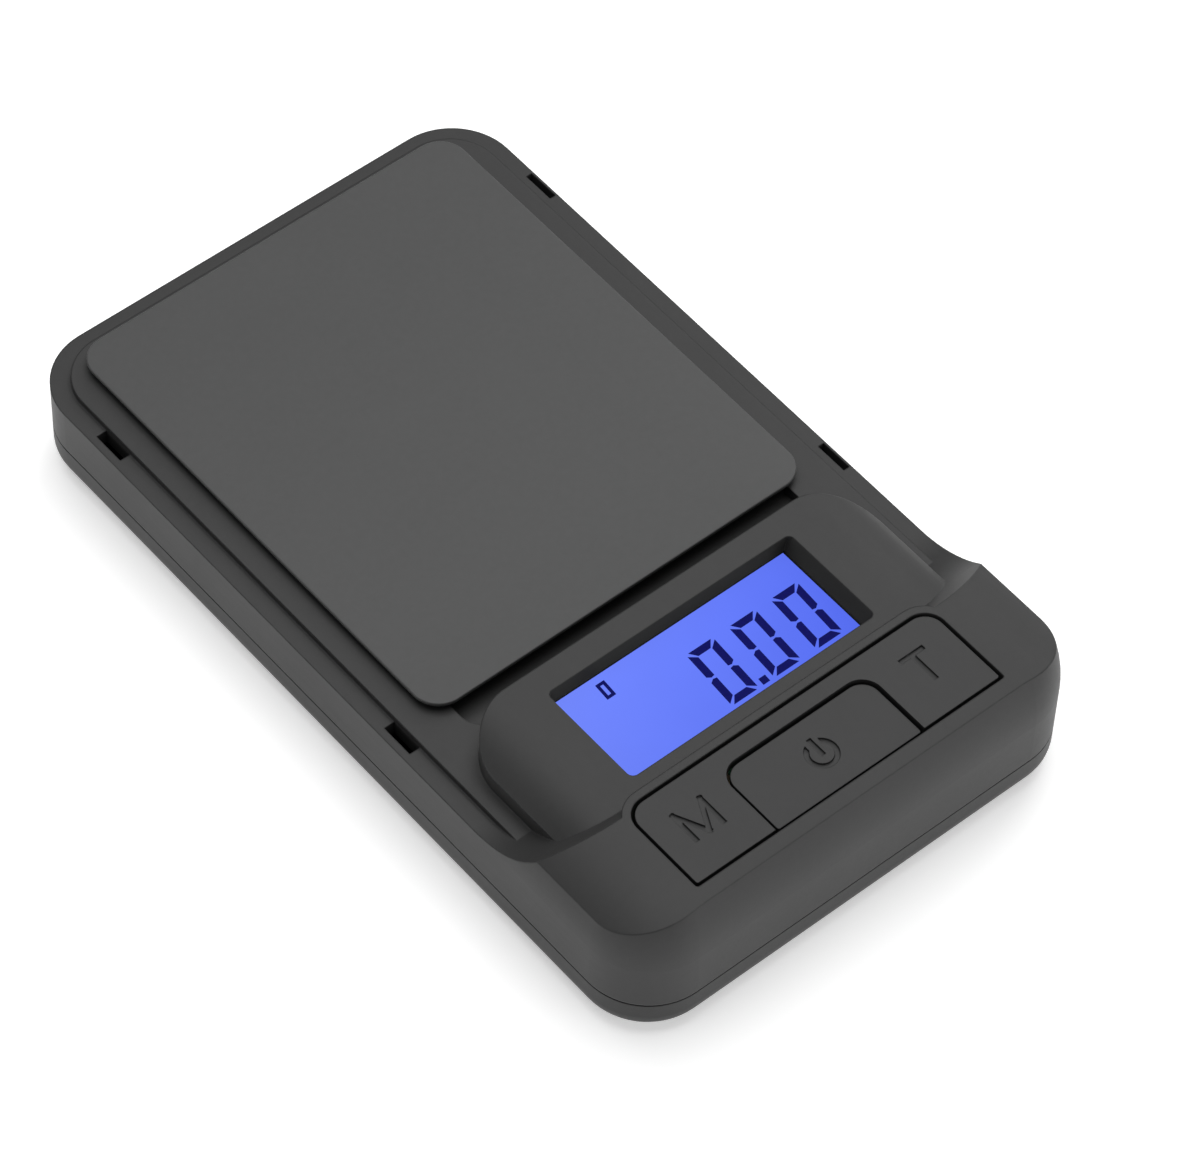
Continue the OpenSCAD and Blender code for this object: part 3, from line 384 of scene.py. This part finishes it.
def clear_lamp(name):
    """Clear lamp body with the pale die showing through it."""
    skin = Recipe(name, Roughness=0.15, Emission_Strength=0.6)
    spot = skin.place()
    die = skin.cells(spot, 0.7 * MM)
    skin.set(Base_Color=skin.blend(die, (0.9, 0.8, 0.2), (0.85, 0.85, 0.7)))
    skin.set(Emission_Color=skin.blend(die, (0.5, 0.6, 1.0), (0.05, 0.06, 0.1)))
    return skin


def brushed_plate(name):
    """Blank rating plate: fine cross brushing inside a darker border line."""
    skin = Recipe(name, Metallic=1.0)
    spot = skin.place()
    low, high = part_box("rating_plate")
    brush = skin.noise(spot, 0.10 * MM, 3.0, 0.6, stretch=(0.02, 1.0, 1.0))
    x = abs(skin.along(spot, 0) - (low.x + high.x) / 2) - (high.x - low.x) / 2
    y = abs(skin.along(spot, 1) - (low.y + high.y) / 2) - (high.y - low.y) / 2
    reach = x.larger(y)
    border = (reach > -1.1 * MM) * (reach < -0.8 * MM)
    tone = skin.blend(brush, (0.40, 0.41, 0.42), (0.58, 0.59, 0.60))
    tone = skin.blend(border, tone, (0.04, 0.04, 0.04))
    skin.set(Base_Color=tone, Roughness=(0.30 + brush * 0.2).clamp())
    skin.set(Normal=skin.bump(brush, 0.006 * MM, 0.5))
    return skin


# ---- Making pieces ----

def merged_copy(node):
    """A copy of a CAD node's mesh, its loose triangles joined and its flat faces made whole."""
    work = bmesh.new()
    work.from_mesh(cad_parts[node].data)
    bmesh.ops.remove_doubles(work, verts=work.verts, dist=0.015 * MM)
    bmesh.ops.dissolve_limit(work, angle_limit=math.radians(0.5), verts=work.verts,
                             edges=work.edges)
    return work


def piece(name, work, finish, body, replaces=(), edge=0.0, segments=3):
    """Makes an object of a finished mesh, softens its edges and puts it on a body."""
    weight = work.edges.layers.float.new("bevel_weight_edge")
    for line in work.edges:
        if line.is_manifold and line.calc_face_angle_signed() > math.radians(CORNER_ANGLE):
            line[weight] = 1.0
    mesh = bpy.data.meshes.new(name)
    work.to_mesh(mesh)
    work.free()
    mesh.shade_smooth()
    mesh.set_sharp_from_angle(angle=math.radians(CORNER_ANGLE))
    made = bpy.data.objects.new(name, mesh)
    bpy.context.scene.collection.objects.link(made)
    mesh.materials.append(finish)
    if edge > 0:
        soften = made.modifiers.new("soft_edges", "BEVEL")
        soften.width = edge
        soften.segments = segments
        soften.limit_method = "WEIGHT"
        soften.use_clamp_overlap = False
        soften.harden_normals = True
    even = made.modifiers.new("even_shading", "WEIGHTED_NORMAL")
    even.keep_sharp = True
    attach(made, body)
    if replaces:
        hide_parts(*replaces)
    return made


def finish_node(node, finish):
    """Gives a carried-over CAD node its detailed finish."""
    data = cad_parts[node].data
    data.materials.clear()
    data.materials.append(finish)


def settings():
    """The sizes and the finishes set in the panel."""
    return bpy.context.scene.scale_shape, bpy.context.scene.scale_finish


# ---- Operators: one for each piece or group of like pieces ----

class SCALE_OT_view(bpy.types.Operator):
    """Place the camera."""
    bl_idname = "scale.view"
    bl_label = "Camera"

    def execute(self, context):
        azimuth, elevation, roll = (math.radians(a) for a in (
            CAMERA_AZIMUTH, CAMERA_ELEVATION, CAMERA_ROLL))
        back = Vector((math.sin(azimuth) * math.cos(elevation),
                       -math.cos(azimuth) * math.cos(elevation), math.sin(elevation)))
        right = (-back).cross(Vector((0, 0, 1))).normalized()
        up = right.cross(-back)
        across = math.cos(roll) * right + math.sin(roll) * up
        above = -math.sin(roll) * right + math.cos(roll) * up
        eye = Vector(CAMERA_TARGET) * MM + back * CAMERA_DISTANCE * MM
        lens = bpy.data.cameras.new("camera")
        lens.lens = LENS_LENGTH
        lens.sensor_width = SENSOR_WIDTH
        lens.sensor_fit = "HORIZONTAL"
        lens.clip_start = 0.01
        lens.clip_end = 20.0
        camera = bpy.data.objects.new("camera", lens)
        camera.matrix_world = Matrix((
            (across.x, above.x, back.x, eye.x),
            (across.y, above.y, back.y, eye.y),
            (across.z, above.z, back.z, eye.z),
            (0, 0, 0, 1)))
        context.scene.collection.objects.link(camera)
        context.scene.camera = camera
        return {"FINISHED"}


def softbox(name, place, aim, size, power):
    """A rectangular studio light that faces a point."""
    lamp = bpy.data.lights.new(name, "AREA")
    lamp.shape = "RECTANGLE"
    lamp.size, lamp.size_y = size
    lamp.energy = power
    box = bpy.data.objects.new(name, lamp)
    box.location = place
    box.rotation_euler = (Vector(aim) - Vector(place)).to_track_quat("-Z", "Y").to_euler()
    bpy.context.scene.collection.objects.link(box)


class SCALE_OT_stage(bpy.types.Operator):
    """Build the pale floor and the soft studio lights."""
    bl_idname = "scale.stage"
    bl_label = "Stage"

    def execute(self, context):
        work = bmesh.new()
        bmesh.ops.create_grid(work, x_segments=8, y_segments=8, size=FLOOR_HALF)
        mesh = bpy.data.meshes.new("floor")
        work.to_mesh(mesh)
        work.free()
        floor = bpy.data.objects.new("floor", mesh)
        context.scene.collection.objects.link(floor)
        paper = Recipe("floor_paper", Specular_IOR_Level=0.1, Roughness=0.9,
                       Emission_Strength=FLOOR_GLOW, Emission_Color=(1.0, 1.0, 1.0, 1.0))
        spot = paper.place()
        tooth = paper.noise(spot, 30 * MM, 3.0)
        paper.set(Base_Color=paper.blend(tooth, (0.90, 0.90, 0.90), (0.93, 0.93, 0.93)))
        mesh.materials.append(paper.material)
        world = bpy.data.worlds.new("studio")
        world.use_nodes = True
        backdrop = world.node_tree.nodes["Background"]
        backdrop.inputs["Color"].default_value = (1.0, 1.0, 1.0, 1.0)
        backdrop.inputs["Strength"].default_value = WORLD_LIGHT
        context.scene.world = world
        for name, place, aim, size, power in SOFTBOXES:
            softbox(name, place, aim, size, power)
        context.scene.view_settings.view_transform = "Standard"
        return {"FINISHED"}


class SCALE_OT_case(bpy.types.Operator):
    """Finish the two shells of the case."""
    bl_idname = "scale.case"
    bl_label = "Case"

    def execute(self, context):
        shape, finish = settings()
        plastic = moulded_plastic("case_moulding", tuple(finish.case), soften=shape.case_edge).material
        finish_node("upper_shell", plastic)
        finish_node("lower_shell", plastic)
        return {"FINISHED"}


class SCALE_OT_platform(bpy.types.Operator):
    """Build the weighing platform."""
    bl_idname = "scale.platform"
    bl_label = "Platform"

    def execute(self, context):
        shape, finish = settings()
        skin = moulded_plastic("platform_moulding", tuple(finish.platform), 0.42, 0.07 * MM, 0.003 * MM)
        piece("platform_plate", merged_copy("weighing_platform"), skin.material, "platform",
              ["weighing_platform"], shape.platform_edge, 4)
        return {"FINISHED"}


class SCALE_OT_keys(bpy.types.Operator):
    """Finish the mode and tare key and the power key."""
    bl_idname = "scale.keys"
    bl_label = "Keys"

    def execute(self, context):
        shape, finish = settings()
        skin = moulded_plastic("key_moulding", tuple(finish.keys), 0.44, 0.07 * MM, 0.003 * MM,
                               soften=shape.key_edge)
        for node in ("bridge_key", "power_key"):
            finish_node(node, skin.material)
        return {"FINISHED"}


def bar_shapes(stroke, width, height):
    """Corner points of the bars of a nought: mitred ends with hairline gaps between them."""
    gap = 0.13 * MM
    cut = 0.22 * MM
    mid = height / 2
    top = [(gap + cut, height), (width - gap - cut, height), (width - gap - stroke, height - stroke),
           (gap + stroke, height - stroke)]
    left = [(0, height - gap - cut), (stroke, height - gap - stroke), (stroke, mid + gap + stroke * 0.1),
            (stroke * 0.5, mid + gap), (0, mid + gap + stroke * 0.35)]
    right = [(width - x, y) for x, y in left]
    upper = [top, left, right]
    return upper + [[(x, height - y) for x, y in bar] for bar in upper]


def unit_bars(width, height, stroke):
    """Corner points of the four mitred bars of the small unit mark."""
    inner_x, inner_y = width - stroke, height - stroke
    return ([(0, 0), (width, 0), (inner_x, stroke), (stroke, stroke)],
            [(stroke, inner_y), (inner_x, inner_y), (width, height), (0, height)],
            [(0, 0), (stroke, stroke), (stroke, inner_y), (0, height)],
            [(inner_x, stroke), (width, 0), (width, height), (inner_x, inner_y)])


class SCALE_OT_display(bpy.types.Operator):
    """Build the lit display and its figures."""
    bl_idname = "scale.display"
    bl_label = "Display"

    def execute(self, context):
        shape, finish = settings()
        glow = lit_glass(finish).material
        lit = piece("display_panel", merged_copy("display_glass"), glow, "case",
                    ["display_glass"])
        lit.visible_diffuse = False
        lit.visible_glossy = False
        ink = figure_ink(finish).material
        work = bmesh.new()
        top = GLASS_HIGH.z + FIGURE_LIFT * MM
        start = WINDOW_HIGH.x - FIGURES_TO_RIGHT * MM
        bottom = WINDOW_LOW.y + FIGURES_TO_FRONT * MM
        faces = []

        def bar(points, x0, y0):
            corners = [work.verts.new((x0 + x + FIGURE_SLANT * y, y0 + y, top)) for x, y in points]
            faces.append(work.faces.new(corners))

        for place in range(3):
            for points in bar_shapes(shape.figure_stroke, shape.figure_width, shape.figure_height):
                bar(points, start + place * shape.figure_pitch, bottom)
        dot = shape.figure_stroke
        gap = shape.figure_pitch - shape.figure_width
        dot_x = start + shape.figure_width + gap / 2 - dot / 2
        bar([(0, 0), (dot, 0), (dot, dot), (0, dot)], dot_x, bottom)
        unit_x = WINDOW_LOW.x + UNIT_TO_LEFT * MM
        unit_y = WINDOW_HIGH.y - UNIT_TO_REAR * MM
        for points in unit_bars(UNIT_SIZE[0] * MM, UNIT_SIZE[1] * MM, UNIT_STROKE * MM):
            bar(points, unit_x, unit_y)
        raised = bmesh.ops.extrude_face_region(work, geom=faces)
        lifted = [v for v in raised["geom"] if isinstance(v, bmesh.types.BMVert)]
        bmesh.ops.translate(work, verts=lifted, vec=(0, 0, FIGURE_THICKNESS * MM))
        bmesh.ops.recalc_face_normals(work, faces=work.faces)
        piece("display_figures", work, ink, "case")
        return {"FINISHED"}


class SCALE_OT_insides(bpy.types.Operator):
    """Finish the load cell, the electronics, the cells and their contacts."""
    bl_idname = "scale.insides"
    bl_label = "Insides"

    def execute(self, context):
        sheet = rolled_metal("zinc_sheet", (0.60, 0.61, 0.63), 0.34).material
        milled = rolled_metal("milled_aluminium", (0.78, 0.79, 0.80), 0.28, (0.05, 1.0, 1.0)).material
        screw = rolled_metal("screw_steel", (0.52, 0.52, 0.53), 0.30, (1.0, 1.0, 0.1)).material
        nickel = rolled_metal("contact_nickel", (0.72, 0.70, 0.66), 0.18, (1.0, 0.1, 1.0)).material
        tin = rolled_metal("tinned_pins", (0.70, 0.69, 0.65), 0.25, (1.0, 0.1, 1.0)).material
        silicone = soft_rubber("gauge_silicone", (0.72, 0.70, 0.64), 0.45).material
        foam = soft_rubber("gasket_foam", (0.006, 0.006, 0.007), 0.85).material
        black = moulded_plastic("switch_moulding", (0.02, 0.02, 0.02), 0.4).material
        ivory = moulded_plastic("plunger_moulding", (0.62, 0.57, 0.45), 0.3).material
        white = moulded_plastic("holder_moulding", (0.66, 0.66, 0.63), 0.42).material
        light = moulded_plastic("light_guide", (0.80, 0.84, 0.92), 0.16).material
        film = moulded_plastic("insulating_film", (0.07, 0.07, 0.06), 0.30).material
        epoxy = moulded_plastic("chip_epoxy", (0.012, 0.012, 0.013), 0.16).material
        ceramic = moulded_plastic("component_ceramic", (0.36, 0.27, 0.17), 0.5).material
        for node in ("platform_bracket", "load_cell_shim"):
            finish_node(node, sheet)
        for node in ("platform_riser", "load_cell"):
            finish_node(node, milled)
        for node in ("bracket_screws", "load_cell_screws", "overload_stops", "key_pivot_pin",
                     "board_screws", "case_screws"):
            finish_node(node, screw)
        for node in ("contact_springs", "terminal_plates", "joining_contact"):
            finish_node(node, nickel)
        for node, skin in (("display_pins", tin), ("platform_pads", silicone),
                           ("gauge_coating", silicone), ("display_gasket", foam),
                           ("key_switches", black), ("bridge_key_plungers", ivory),
                           ("power_key_plunger", ivory), ("display_holder", white),
                           ("display_backlight", light), ("insulating_sheet", film),
                           ("controller_chip", epoxy), ("board_components", ceramic)):
            finish_node(node, skin)
        finish_node("circuit_board", circuit_green("circuit_board").material)
        finish_node("backlight_lamp", clear_lamp("lamp_resin").material)
        finish_node("battery_cells", cell_sleeve("cell_sleeve").material)
        finish_node("load_cell_wires", wire_sleeve("gauge_wire", (0.40, 0.03, 0.02)).material)
        finish_node("battery_wires", wire_sleeve("battery_wire", (0.05, 0.05, 0.06)).material)
        return {"FINISHED"}


class SCALE_OT_underside(bpy.types.Operator):
    """Build the battery door and the feet and finish the blank rating plate."""
    bl_idname = "scale.underside"
    bl_label = "Underside"

    def execute(self, context):
        finish = context.scene.scale_finish
        plastic = moulded_plastic("door_moulding", tuple(finish.case)).material
        piece("battery_hatch", merged_copy("battery_door"), plastic, "door",
              ["battery_door"], 0.12 * MM, 2)
        rubber = soft_rubber("foot_rubber", (0.022, 0.022, 0.023)).material
        piece("foot_pads", merged_copy("rubber_feet"), rubber, "case",
              ["rubber_feet"], 0.25 * MM)
        finish_node("rating_plate", brushed_plate("rating_plate").material)
        return {"FINISHED"}


class SCALE_PT_panel(bpy.types.Panel):
    """Lists the pieces of the scale."""
    bl_idname = "SCALE_PT_panel"
    bl_label = "Pocket gram scale"
    bl_space_type = "VIEW_3D"
    bl_region_type = "UI"
    bl_category = "Scale"

    def draw(self, context):
        for group in (context.scene.scale_shape, context.scene.scale_finish):
            column = self.layout.column()
            for name in group.__annotations__:
                column.prop(group, name)
        for operator in OPERATORS:
            self.layout.operator(operator.bl_idname)


OPERATORS = (SCALE_OT_view, SCALE_OT_stage, SCALE_OT_case, SCALE_OT_platform, SCALE_OT_keys,
             SCALE_OT_display, SCALE_OT_insides, SCALE_OT_underside)
CLASSES = (ScaleShape, ScaleFinish, *OPERATORS, SCALE_PT_panel)


def register():
    for item in CLASSES:
        bpy.utils.register_class(item)
    bpy.types.Scene.scale_shape = bpy.props.PointerProperty(type=ScaleShape)
    bpy.types.Scene.scale_finish = bpy.props.PointerProperty(type=ScaleFinish)


def unregister():
    del bpy.types.Scene.scale_finish
    del bpy.types.Scene.scale_shape
    for item in reversed(CLASSES):
        bpy.utils.unregister_class(item)


def main():
    """Builds everything in order."""
    register()
    for step in (bpy.ops.scale.view, bpy.ops.scale.stage, bpy.ops.scale.case,
                 bpy.ops.scale.platform, bpy.ops.scale.keys, bpy.ops.scale.display,
                 bpy.ops.scale.insides, bpy.ops.scale.underside):
        step()


if __name__ == "__main__":
    main()
